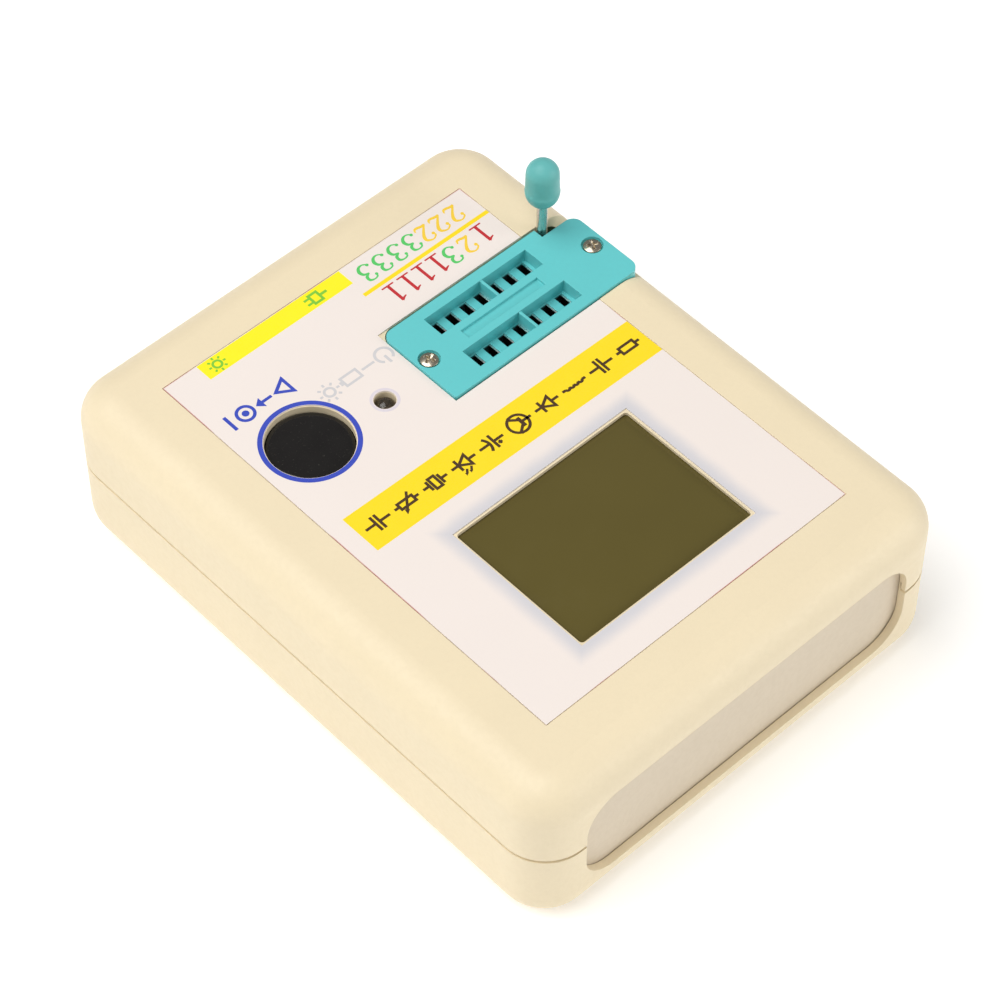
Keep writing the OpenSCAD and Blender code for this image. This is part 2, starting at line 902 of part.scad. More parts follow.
module lever_knob() {
    top = knob_foot + knob_l;
    collar_low = knob_foot + knob_collar_z;
    collar_high = collar_low + knob_collar_h;
    color("#5fc3c4")
        translate([lever_x, lever_y, 0])
            difference() {
                union() {
                    translate([0, 0, knob_foot])
                        cylinder(r1 = knob_seat_r, r2 = knob_d / 2, h = knob_collar_z);
                    disc(knob_d / 2, collar_low - cut, collar_high);
                    disc(knob_round, collar_low, top - knob_round);
                    translate([0, 0, top - knob_round])
                        sphere(knob_round);
                }
                disc(rod_r, knob_foot - past, rod_top);
            }
}

// ---- battery, charger and wiring ----

module battery() {
    color("#9aa7b4")
        translate([cell_at[0], cell_at[1], skin + pad_t])
            linear_extrude(cell[2])
                round_rect(cell[0], cell[1], cell_r);
}

module battery_pad() {
    color("#e9e9e4")
        translate([cell_at[0], cell_at[1], 0])
            prism(cell[0] - pad_inset[0], cell[1] - pad_inset[1], skin, skin + pad_t);
}

module battery_leads() {
    start_y = cell_at[1] + cell[1] / 2;
    lead_z = skin + pad_t + cell[2] - 2;
    color("#b03030")
        for (side = [-1, 1])
            lead([
                [side * 3, start_y, lead_z],
                [side * 3, start_y + 3 - side, lead_z],
                [12, start_y + 3.8 - side, 8.6],
                [20.5 - side / 2, start_y - side, 9.4],
                [plug_at[0] - side, plug_at[1] + 3, 8.2],
                [plug_at[0] - side, plug_at[1], 9.4],
                [plug_at[0] - side, plug_at[1], board_bottom - plug_drop[1]]
            ]);
}

module battery_plug() {
    color("#f0eee6")
        translate([plug_at[0], plug_at[1], 0])
            prism(plug[0], plug[1], board_bottom - plug_drop[1], board_bottom - plug_drop[0]);
}

module battery_header() {
    color("#e8e4da")
        translate([plug_at[0], plug_at[1], 0])
            difference() {
                prism(plug[0] + 2 * header_wall, plug[1] + 2 * header_wall,
                      board_bottom - header_drop, board_bottom);
                prism(plug[0] + near, plug[1] + near,
                      board_bottom - header_drop - past, board_bottom - plug_drop[0]);
            }
}

module charger_board() {
    color("#1d4f8c")
        translate([charger_at[0], charger_at[1], 0])
            prism(charger[0], charger[1], charger_z, charger_z + charger[2]);
}

module charger_chip() {
    color("#2a2c30")
        translate([charger_at[0] + charger_chip_at[0], charger_at[1] + charger_chip_at[1], 0])
            prism(charger_chip[0], charger_chip[1], charger_z + charger[2],
                  charger_z + charger[2] + charger_chip[2]);
}

module charger_leads() {
    deck = charger_z + charger[2] + lead_r;
    color("#2c2c2e")
        for (side = [-1, 1])
            lead([
                [-6 + side, charger_at[1] + 2, deck],
                [-6 + side, charger_at[1] + 5, deck + 0.2],
                [-9 + side / 2, charger_at[1] + 8 + side, deck + 1.4],
                [-15, charger_at[1] + 9 + side, deck + 2.6],
                [-18, charger_at[1] + 9 + side, board_bottom - 1.4],
                [-18, charger_at[1] + 9 + side, board_bottom]
            ]);
}

module usb_socket() {
    shell_t = 0.3;
    tongue = [4.6, 3.6, 0.7];
    color("#c4c7ca")
        translate([usb_x, -usb_front + usb[1] / 2, usb_z]) {
            difference() {
                rotate([90, 0, 0])
                    linear_extrude(usb[1], center = true)
                        round_rect(usb[0], usb[2], usb_r);
                translate([0, -shell_t, 0])
                    rotate([90, 0, 0])
                        linear_extrude(usb[1], center = true)
                            round_rect(usb[0] - 2 * shell_t, usb[2] - 2 * shell_t, usb_inner_r);
            }
            translate([0, usb[1] / 2 - shell_t - tongue[1] / 2 + cut, 0])
                prism(tongue[0], tongue[1], 0, tongue[2]);
        }
}

module charge_lamp() {
    tip = -half_l + lip_t + lamp_r;
    back = tip + charge_lamp_l;
    color("#e7d9d6")
        translate([charge_x, 0, charge_z]) {
            rod_y(lamp_r, tip, back);
            rod_y(lamp_flange_r, back - lamp_flange_h, back);
            translate([0, tip, 0])
                sphere(lamp_r);
            for (x = [-1, 1])
                translate([x * lamp_lead_gap, 0, 0])
                    span([-pin_w / 2, back - cut, -pin_w / 2],
                         [pin_w / 2, back + charge_lead_l, pin_w / 2]);
        }
}

top_shell();
bottom_shell();
front_panel();
rear_panel();
case_screws();
overlay();
main_board();
board_screws();
display_glass();
display_diffuser();
display_frame();
display_pins();
socket_base();
socket_cover();
socket_screws();
socket_slider();
socket_contacts();
lever_rod();
lever_knob();
button_cap();
button_plunger();
button_switch();
power_lamp();
microcontroller();
crystal();
small_chips();
capacitors();
battery();
battery_pad();
battery_leads();
battery_plug();
battery_header();
charger_board();
charger_chip();
charger_leads();
usb_socket();
charge_lamp();
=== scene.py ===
import math

import bmesh
import bpy
from mathutils import Matrix, Vector


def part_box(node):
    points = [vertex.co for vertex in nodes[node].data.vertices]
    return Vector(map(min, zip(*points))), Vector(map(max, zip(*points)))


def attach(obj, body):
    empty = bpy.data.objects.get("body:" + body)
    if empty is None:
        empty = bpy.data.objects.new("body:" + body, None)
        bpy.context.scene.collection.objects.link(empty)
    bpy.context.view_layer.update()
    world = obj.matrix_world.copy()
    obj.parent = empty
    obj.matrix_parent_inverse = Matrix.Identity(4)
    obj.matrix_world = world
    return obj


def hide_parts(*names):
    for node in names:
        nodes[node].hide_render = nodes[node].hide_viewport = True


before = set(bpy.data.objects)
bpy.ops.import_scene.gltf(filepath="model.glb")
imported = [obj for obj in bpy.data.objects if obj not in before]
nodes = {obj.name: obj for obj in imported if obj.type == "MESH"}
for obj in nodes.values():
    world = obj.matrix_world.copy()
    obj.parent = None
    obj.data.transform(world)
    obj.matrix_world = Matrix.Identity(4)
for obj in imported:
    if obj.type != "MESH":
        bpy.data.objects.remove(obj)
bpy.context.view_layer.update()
scene = bpy.context.scene
MM = 0.001


# ---- camera, lights and floor ----

CAMERA_PLACE = (0.19228310, 0.20482595, 0.37023370)   # metres
CAMERA_TURN = (38.3178022, -0.1591304, 136.9986539)   # degrees
LENS_MM = 127.538

camera_data = bpy.data.cameras.new("camera")
camera_data.sensor_width = 36
camera_data.lens = LENS_MM
camera_data.clip_start = 0.01
camera_data.clip_end = 20
camera = bpy.data.objects.new("camera", camera_data)
camera.location = CAMERA_PLACE
camera.rotation_euler = [math.radians(angle) for angle in CAMERA_TURN]
scene.collection.objects.link(camera)
scene.camera = camera
scene.view_settings.view_transform = "Standard"
scene.view_settings.look = "None"

world = bpy.data.worlds.new("studio")
scene.world = world
world.use_nodes = True
background = world.node_tree.nodes["Background"]
background.inputs["Color"].default_value = (1.0, 0.99, 0.985, 1)
background.inputs["Strength"].default_value = 0.23

LIT_POINT = (0, 0, 0.01)


def area_light(name, place, size, power, colour=(1, 1, 1)):
    """Soft rectangular light aimed at the part, with its power in watts."""
    data = bpy.data.lights.new(name, "AREA")
    data.shape = "RECTANGLE"
    data.size, data.size_y = size
    data.energy = power
    data.color = colour
    light = bpy.data.objects.new(name, data)
    light.location = place
    light.rotation_euler = (Vector(LIT_POINT) - Vector(place)).to_track_quat("-Z", "Y").to_euler()
    scene.collection.objects.link(light)


area_light("top_softbox", (0.42, -0.16, 0.95), (0.95, 0.95), 10.9, (1, 0.99, 0.97))
area_light("side_softbox", (0.70, -0.75, 0.40), (0.7, 0.5), 0.2)
area_light("end_softbox", (-0.60, 0.80, 0.36), (0.6, 0.5), 3.9)


# ---- node material helper ----

class Look:
    """A node material with its principled shader and short calls for the usual nodes.
    Places are in metres, and so are limits given to a ramp of a place."""

    def __init__(self, name, rough, metallic=0.0, **constants):
        self.material = bpy.data.materials.new(name)
        self.material.use_nodes = True
        self.tree = self.material.node_tree
        self.tree.nodes.clear()
        self.shader = self.add("ShaderNodeBsdfPrincipled")
        output = self.add("ShaderNodeOutputMaterial")
        self.tree.links.new(self.shader.outputs[0], output.inputs[0])
        self.place = self.add("ShaderNodeTexCoord").outputs["Object"]
        self.shader.inputs["Roughness"].default_value = rough
        self.shader.inputs["Metallic"].default_value = metallic
        for key, value in constants.items():
            self.shader.inputs[key.replace("_", " ")].default_value = value

    def add(self, kind, **settings):
        node = self.tree.nodes.new(kind)
        for key, value in settings.items():
            setattr(node, key, value)
        return node

    def put(self, socket, value):
        """Links a node's output to a socket, or sets the socket to a plain value."""
        if isinstance(value, bpy.types.NodeSocket):
            self.tree.links.new(value, socket)
        elif isinstance(value, (tuple, list)) and socket.type == "RGBA":
            socket.default_value = (*value[:3], 1)
        else:
            socket.default_value = value

    def math(self, operation, a, b=0.0):
        node = self.add("ShaderNodeMath", operation=operation)
        self.put(node.inputs[0], a)
        self.put(node.inputs[1], b)
        return node.outputs[0]

    def noise(self, size_mm, detail, rough=0.5, place=None, distortion=0.0):
        node = self.add("ShaderNodeTexNoise")
        self.put(node.inputs["Vector"], place or self.place)
        node.inputs["Scale"].default_value = 1 / (size_mm * MM)
        node.inputs["Detail"].default_value = detail
        node.inputs["Roughness"].default_value = rough
        node.inputs["Distortion"].default_value = distortion
        return node.outputs["Fac"]

    def cells(self, size_mm):
        """Distance to the nearest of scattered points, so low in round spots."""
        node = self.add("ShaderNodeTexVoronoi")
        self.put(node.inputs["Vector"], self.place)
        node.inputs["Scale"].default_value = 1 / (size_mm * MM)
        return node.outputs["Distance"]

    def stretched(self, x, y, z):
        """Place with each axis multiplied; a small factor draws a pattern out along it."""
        node = self.add("ShaderNodeVectorMath", operation="MULTIPLY")
        self.put(node.inputs[0], self.place)
        node.inputs[1].default_value = (x, y, z)
        return node.outputs[0]

    def axis(self, index):
        node = self.add("ShaderNodeSeparateXYZ")
        self.put(node.inputs[0], self.place)
        return node.outputs[index]

    def past(self, index, centre_mm, half_mm):
        """How far a place lies outside a band about a centre, along one axis."""
        off = self.math("ABSOLUTE", self.math("SUBTRACT", self.axis(index), centre_mm * MM))
        return self.math("SUBTRACT", off, half_mm * MM)

    def ramp(self, value, low, high, to_low=0.0, to_high=1.0):
        """Smooth step from one value to another while the input runs from low to high."""
        node = self.add("ShaderNodeMapRange", interpolation_type="SMOOTHSTEP")
        self.put(node.inputs["Value"], value)
        limits = {"From Min": low, "From Max": high, "To Min": to_low, "To Max": to_high}
        for key, number in limits.items():
            node.inputs[key].default_value = number
        return node.outputs["Result"]

    def mix(self, share, a, b):
        node = self.add("ShaderNodeMix", data_type="RGBA")
        self.put(node.inputs["Factor"], share)
        self.put(node.inputs[6], a)
        self.put(node.inputs[7], b)
        return node.outputs[2]

    def rounding(self, radius_mm):
        """Normal that runs softly over sharp edges."""
        bevel = self.add("ShaderNodeBevel", samples=6)
        bevel.inputs["Radius"].default_value = radius_mm * MM
        return bevel.outputs[0]

    def edge(self, radius_mm):
        """1 on edges and corners, 0 on open faces."""
        dot = self.add("ShaderNodeVectorMath", operation="DOT_PRODUCT")
        self.put(dot.inputs[0], self.rounding(radius_mm))
        self.put(dot.inputs[1], self.add("ShaderNodeNewGeometry").outputs["Normal"])
        return self.ramp(dot.outputs["Value"], 0.995, 0.85)

    def bump(self, height, depth_mm, strength=1.0, normal=None):
        """Normal from a height pattern, on top of another normal if one is given."""
        node = self.add("ShaderNodeBump")
        node.inputs["Strength"].default_value = strength
        node.inputs["Distance"].default_value = depth_mm * MM
        self.put(node.inputs["Height"], height)
        if normal is not None:
            self.put(node.inputs["Normal"], normal)
        return node.outputs[0]

    def colour(self, value):
        self.put(self.shader.inputs["Base Color"], value)

    def roughness(self, value):
        self.put(self.shader.inputs["Roughness"], value)

    def normal(self, value):
        self.put(self.shader.inputs["Normal"], value)


def srgb(r, g, b):
    """Linear colour from display values of 0 to 255, none of them near black."""
    return tuple(((c / 255 + 0.055) / 1.055) ** 2.4 for c in (r, g, b))


def scaled(colour, factor):
    """A lighter or darker colour."""
    return tuple(min(1.0, c * factor) for c in colour)


# the inside of the socket, where its plastic gets painted shade: axis, low and high, metres
SOCKET_INSIDE = ((0, -0.0262, -0.0052), (1, -0.0222, -0.0102))


def moulded(name, base, rough, grain_mm, grain_depth, spread, wear=0.25, painted_shade_below=None, specks=0.0,
            **constants):
    """Moulded plastic: fine spark-eroded grain, slow shade changes, paler rubbed edges.
    Below the given height, inside the socket's outline, it is painted near black as shade in the socket's
    slots and hollows.
    Specks is the strength of a few dark specks."""
    look = Look(name, rough, **constants)
    slow = look.noise(9, 3, 0.55)
    speck = look.noise(0.8, 2, 0.6)
    shade = look.mix(slow, scaled(base, 1 - spread), scaled(base, 1 + spread))
    shade = look.mix(look.ramp(speck, 0.35, 0.75, 0, 0.35), shade, scaled(base, 1 - 1.6 * spread))
    patches = look.ramp(look.noise(2.5, 3), 0.35, 0.65, 0.2, wear + 0.2)
    rubbed = look.math("MULTIPLY", look.edge(0.35), patches)
    shade = look.mix(rubbed, shade, scaled(base, 1.14))
    if specks:
        dirt = look.math("MULTIPLY", look.ramp(look.cells(5.5), 0.030, 0.018),
                         look.ramp(look.noise(17, 2), 0.50, 0.62, 0, specks))
        shade = look.mix(dirt, shade, scaled(base, 0.35))
    # painted shade: near black inside the socket's outline below the given height
    if painted_shade_below is not None:
        painted_shade = look.ramp(look.axis(2), painted_shade_below, painted_shade_below - 0.00025)
        for axis, low, high in SOCKET_INSIDE:
            place = look.axis(axis)
            painted_shade = look.math("MULTIPLY", painted_shade, look.math("GREATER_THAN", place, low))
            painted_shade = look.math("MULTIPLY", painted_shade, look.math("LESS_THAN", place, high))
        shade = look.mix(look.math("MULTIPLY", painted_shade, 0.9), shade, (0.030, 0.038, 0.036))
    look.colour(shade)
    pits = look.math("MULTIPLY", look.cells(grain_mm * 1.7), 0.5)
    grain = look.math("ADD", look.noise(grain_mm, 3, 0.65), pits)
    look.normal(look.bump(grain, grain_depth, normal=look.rounding(0.14)))
    look.roughness(look.math("SUBTRACT", look.ramp(speck, 0.3, 0.7, rough - 0.05, rough + 0.07),
                             look.math("MULTIPLY", rubbed, 0.12)))
    return look.material


def metal(name, base, rough, brushed=(1, 1, 1), tarnish=0.3, scratch=0.5):
    """Plated or drawn metal with cloudy tarnish and fine scratches, drawn out as brushed says."""
    look = Look(name, rough, 1.0)
    cloud = look.noise(1.6, 4, 0.6)
    look.colour(look.mix(look.ramp(cloud, 0.35, 0.7, 0, tarnish), base, scaled(base, 0.72)))
    lines = look.noise(0.12, 3, 0.6, look.stretched(*brushed))
    look.roughness(look.ramp(look.math("ADD", cloud, lines), 0.6, 1.4, rough - 0.07, rough + 0.13))
    look.normal(look.bump(lines, 0.004, scratch))
    return look.material


def give(material, *names):
    """Puts a material on nodes of the frame."""
    for name in names:
        data = nodes[name].data
        data.materials.clear()
        data.materials.append(material)


floor_look = Look("floor", 0.85, Emission_Color=(1, 1, 1, 1), Emission_Strength=0.24,
                  Specular_IOR_Level=0.1)
floor_look.colour(floor_look.mix(floor_look.noise(60, 2), (0.92, 0.92, 0.92), (0.95, 0.95, 0.95)))
bpy.ops.mesh.primitive_plane_add(size=6, location=(0, 0, -0.00005))
floor = bpy.context.object
floor.name = "floor"
floor.data.materials.append(floor_look.material)

CREAM = (0.860, 0.738, 0.515)
PANEL = (0.700, 0.602, 0.462)
TURQUOISE = (0.135, 0.600, 0.620)
TURQUOISE_DARK = (0.075, 0.400, 0.405)

cream = moulded("case_plastic", CREAM, 0.50, 0.38, 0.022, 0.03, specks=0.5)
panel_plastic = moulded("panel_plastic", PANEL, 0.55, 0.34, 0.020, 0.035)
# socket cover and base painted near black below 24.2 mm inside the socket, and the slider all over there,
# as shade
turquoise = moulded("socket_plastic", TURQUOISE, 0.40, 0.5, 0.004, 0.04, 0.4, painted_shade_below=0.0242)
slider_plastic = moulded("slider_plastic", TURQUOISE_DARK, 0.45, 0.5, 0.004, 0.05, painted_shade_below=0.0262)
knob_plastic = moulded("knob_plastic", (0.140, 0.490, 0.480), 0.42, 0.45, 0.006, 0.06,
                       Specular_IOR_Level=0.3)
black_plastic = moulded("black_plastic", (0.018, 0.018, 0.020), 0.5, 0.3, 0.008, 0.3)
ivory_plastic = moulded("ivory_plastic", (0.80, 0.76, 0.66), 0.45, 0.4, 0.005, 0.05)
milky_plastic = moulded("milky_plastic", (0.80, 0.83, 0.85), 0.35, 0.5, 0.003, 0.03)
foam = moulded("foam_tape", (0.78, 0.78, 0.74), 0.9, 0.7, 0.06, 0.08)
zinc = metal("zinc_screw", (0.62, 0.63, 0.66), 0.34)
nickel = metal("nickel_screw", (0.64, 0.57, 0.45), 0.26, tarnish=0.75, scratch=0.25)
tin = metal("tinned_pin", (0.86, 0.86, 0.85), 0.22, (1, 1, 0.1))
rod_metal = metal("plated_rod", (0.62, 0.60, 0.55), 0.24, (1, 1, 0.08), 0.2, 0.15)
can_metal = metal("drawn_can", (0.76, 0.77, 0.79), 0.28, (0.1, 1, 1))

give(cream, "top_shell", "bottom_shell")
give(panel_plastic, "front_panel", "rear_panel")
give(turquoise, "socket_cover", "socket_base")
give(slider_plastic, "socket_slider")
give(black_plastic, "display_frame", "button_switch", "button_plunger")
give(ivory_plastic, "battery_plug", "battery_header")
give(milky_plastic, "display_diffuser")
give(foam, "battery_pad")
give(zinc, "case_screws", "board_screws")
give(tin, "display_pins")
give(rod_metal, "lever_rod")
give(can_metal, "crystal", "usb_socket")

# contact leaf: plain bright metal on its upper edge, painted dark lower down as shade in the socket's
# slots
leaf = Look("contact_leaf", 0.28, 1.0)
unshaded_tip = leaf.ramp(leaf.axis(2), 0.02400, 0.02417)
# painted shade: near black metal below the tip
leaf_painted_shade = leaf.mix(leaf.noise(0.5, 3), (0.060, 0.060, 0.054), (0.110, 0.105, 0.092))
leaf.colour(leaf.mix(unshaded_tip, leaf_painted_shade, (0.88, 0.87, 0.84)))
leaf.roughness(leaf.ramp(leaf.noise(0.4, 2), 0.3, 0.7, 0.22, 0.4))
leaf.normal(leaf.bump(leaf.noise(0.15, 2, 0.6, leaf.stretched(1, 1, 0.1)), 0.004, 0.5))
give(leaf.material, "socket_contacts")

# chip with a black body and tinned legs
chip = Look("chip", 0.55)
out_x = chip.math("ABSOLUTE", chip.math("ADD", chip.axis(0), 0.008))
out_y = chip.math("ABSOLUTE", chip.math("ADD", chip.axis(1), 0.0026))
leg_part = chip.math("GREATER_THAN", chip.math("MAXIMUM", out_x, out_y), 0.003502)
body_shade = chip.mix(chip.noise(1.2, 3), (0.020, 0.020, 0.022), (0.036, 0.036, 0.038))
chip.colour(chip.mix(leg_part, body_shade, (0.78, 0.78, 0.77)))
chip.put(chip.shader.inputs["Metallic"], leg_part)
chip.roughness(chip.ramp(chip.noise(0.3, 3), 0.3, 0.7, 0.35, 0.6))
chip.normal(chip.bump(chip.noise(0.12, 3), 0.006))
give(chip.material, "microcontroller")
give(moulded("small_chip", (0.028, 0.028, 0.031), 0.55, 0.14, 0.008, 0.2), "small_chips", "charger_chip")


TINNED = (0.80, 0.78, 0.72)


def solder_mask(name, base):
    """Circuit board: coloured mask over broken lines of track, with round tinned pads."""
    look = Look(name, 0.32, Coat_Weight=0.3, Coat_Roughness=0.2)
    tracks = look.add("ShaderNodeTexBrick", offset=0.37, squash=0.6, squash_frequency=3)
    look.put(tracks.inputs["Vector"], look.stretched(1, 1, 0))
    for key, value in (("Scale", 160), ("Mortar Size", 0.035), ("Mortar Smooth", 0.3)):
        tracks.inputs[key].default_value = value
    pads = look.ramp(look.cells(3.1), 0.13, 0.10)
    lines = look.math("MULTIPLY", tracks.outputs["Fac"], look.ramp(look.noise(7, 2), 0.46, 0.54))
    shade = look.mix(look.noise(5, 3), scaled(base, 0.9), scaled(base, 1.1))
    shade = look.mix(look.math("MULTIPLY", lines, 0.6), shade, scaled(base, 1.9))
    look.colour(look.mix(pads, shade, TINNED))
    look.put(look.shader.inputs["Metallic"], look.math("MULTIPLY", pads, 0.9))
    look.normal(look.bump(look.math("ADD", lines, pads), 0.03))
    look.roughness(look.ramp(look.noise(0.8, 2), 0.3, 0.7, 0.26, 0.4))
    return look.material


give(solder_mask("board_mask", (0.020, 0.190, 0.060)), "main_board")
give(solder_mask("charger_mask", (0.015, 0.070, 0.260)), "charger_board")

# capacitor cans: aluminium with a dark base ring and a black mark on the top
can = Look("capacitor_can", 0.3, 1.0)
foot = can.ramp(can.axis(2), 0.0185, 0.0184)
mark_side = can.math("MULTIPLY", can.ramp(can.axis(1), -0.0289, -0.02895),
                     can.ramp(can.axis(2), 0.0225, 0.02255))
dark_part = can.math("MAXIMUM", foot, mark_side)
aluminium = can.mix(can.noise(1.2, 3), (0.70, 0.71, 0.74), (0.82, 0.83, 0.85))
can.colour(can.mix(dark_part, aluminium, (0.02, 0.02, 0.025)))
can.put(can.shader.inputs["Metallic"], can.math("SUBTRACT", 1.0, dark_part))
can.roughness(can.ramp(can.noise(0.1, 3, 0.6, can.stretched(1, 1, 0.05)), 0.3, 0.7, 0.2, 0.4))
can.normal(can.bump(can.noise(0.4, 2), 0.01))
give(can.material, "capacitors")

# cell in a soft aluminium pouch with a band of polyimide tape at the lead end
pouch = Look("cell_pouch", 0.3, 0.85)
tape = pouch.ramp(pouch.axis(1), 0.0235, 0.0236)
foil = pouch.mix(pouch.noise(6, 4, 0.6), (0.52, 0.55, 0.60), (0.66, 0.69, 0.73))
amber = pouch.mix(pouch.noise(3, 3), (0.42, 0.20, 0.03), (0.52, 0.27, 0.05))
pouch.colour(pouch.mix(tape, foil, amber))
bare = pouch.math("SUBTRACT", 0.85, pouch.math("MULTIPLY", tape, 0.75))
pouch.put(pouch.shader.inputs["Metallic"], bare)
pouch.roughness(pouch.ramp(pouch.noise(2, 3), 0.3, 0.7, 0.22, 0.42))
pouch.normal(pouch.bump(pouch.noise(3.5, 3, 0.6, distortion=1.5), 0.12, 0.6))
give(pouch.material, "battery")


def insulation(name, base):
    """Soft insulation of a lead with a slight shine and dusty streaks."""
    look = Look(name, 0.4, Sheen_Weight=0.1)
    look.colour(look.mix(look.noise(1.5, 4), scaled(base, 0.85), scaled(base, 1.2)))
    look.roughness(look.ramp(look.noise(0.6, 3), 0.3, 0.7, 0.32, 0.5))
    look.normal(look.bump(look.noise(0.3, 2), 0.01))
    return look.material


give(insulation("red_insulation", (0.46, 0.025, 0.020)), "battery_leads")
give(insulation("black_insulation", (0.020, 0.020, 0.022)), "charger_leads")

# diffused red lamp of the charger, behind the end panel
diffused = Look("charge_lamp", 0.25, IOR=1.5, Transmission_Weight=0.35)
diffused.colour(diffused.mix(diffused.noise(0.8, 3), (0.62, 0.10, 0.08), (0.74, 0.17, 0.13)))
diffused.roughness(diffused.ramp(diffused.noise(0.4, 2), 0.3, 0.7, 0.18, 0.34))
diffused.normal(diffused.bump(diffused.noise(0.25, 2), 0.005))
give(diffused.material, "charge_lamp")

# ---- printed overlay ----


def middle(node):
    """Centre of a node's box seen from above, in millimetres."""
    low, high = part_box(node)
    return (low.x + high.x) / 2 / MM, (low.y + high.y) / 2 / MM


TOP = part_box("overlay")[1].z / MM
WINDOW = (-0.85, 18.0, 29.8, 23.0)   # the window's centre, width and length
BUTTON = middle("button_switch")
LAMP = middle("power_lamp")

film = Look("overlay_film", 0.42, Specular_IOR_Level=0.2)
PAPER = srgb(241, 231, 225)
paper = film.mix(film.noise(14, 3), scaled(PAPER, 0.985), scaled(PAPER, 1.01))
paper = film.mix(film.ramp(film.noise(0.5, 2, 0.7), 0.55, 0.8, 0, 0.25), paper, scaled(PAPER, 0.94))
x_away, y_away = (film.past(k, WINDOW[k], WINDOW[2 + k] / 2) for k in (0, 1))
away = film.math("MAXIMUM", x_away, y_away)
waver = film.math("MULTIPLY", film.math("SUBTRACT", film.noise(3, 2), 0.5), 0.0006)
away = film.math("ADD", away, waver)
fade = film.ramp(away, 0.0002, 0.0026, 0.75, 0)
paper = film.mix(fade, paper, srgb(203, 204, 212))
# the cut rim of the film, with some red left by the cutting guide
FILM = middle("overlay")
RIM_START = (25.45, 35.25)   # half width and half length inside the rim
rim_x, rim_y = (film.past(k, FILM[k], RIM_START[k]) for k in (0, 1))
rim = film.math("MAXIMUM", rim_x, rim_y)
guide = film.ramp(film.noise(11, 2, 0.4), 0.50, 0.62)
paper = film.mix(film.math("MULTIPLY", film.ramp(rim, 0.0, 0.00006), film.math("MULTIPLY", guide, 0.55)),
                 paper, srgb(206, 96, 104))
film.colour(paper)
film.roughness(film.ramp(film.noise(4, 3), 0.3, 0.7, 0.34, 0.44))
film.normal(film.bump(film.noise(1.1, 2), 0.006, 0.6))
give(film.material, "overlay")


def add_piece(name, data, material, body):
    """Puts a mesh into the scene as a piece that moves with a body."""
    piece = bpy.data.objects.new(name, data)
    scene.collection.objects.link(piece)
    data.materials.append(material)
    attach(piece, body)
    return piece


CURVE_STEPS = 6


def smooth(points):
    """Points of a smooth curve through the given ones."""
    last, out = len(points) - 1, []
    for i in range(last):
        a, b, c, d = (Vector(points[max(0, min(last, i + k))]) for k in (-1, 0, 1, 2))
        for k in range(CURVE_STEPS):
            t = k / CURVE_STEPS
            cubic = 2 * a - 5 * b + 4 * c - d + t * (3 * (b - c) + d - a)
            out.append(b + 0.5 * t * (c - a + t * cubic))
    return out + [Vector(points[-1])]


def between(values, share):
    """Value at a share of the way along a list of values."""
    place = share * (len(values) - 1)
    i = min(int(place), len(values) - 2)
    return values[i] + (values[i + 1] - values[i]) * (place - i)


def circle(x, y, r, steps=56, start=0.0, sweep=360.0):
    """Points of a circle, or of an arc when the sweep in degrees is less."""
    count = steps if sweep == 360.0 else steps + 1
    return [(x + r * math.cos(math.radians(start + sweep * i / steps)),
             y + r * math.sin(math.radians(start + sweep * i / steps))) for i in range(count)]


INK_RISE = 0.010     # top of the ink above the film
INK_ROOT = 0.010     # how far the ink's sides go into the film
INK_STEP = 0.0006    # between neighbouring marks, so that crossing marks don't share a plane
SHARPEST = 0.5       # limit on how far a line's corner is drawn out


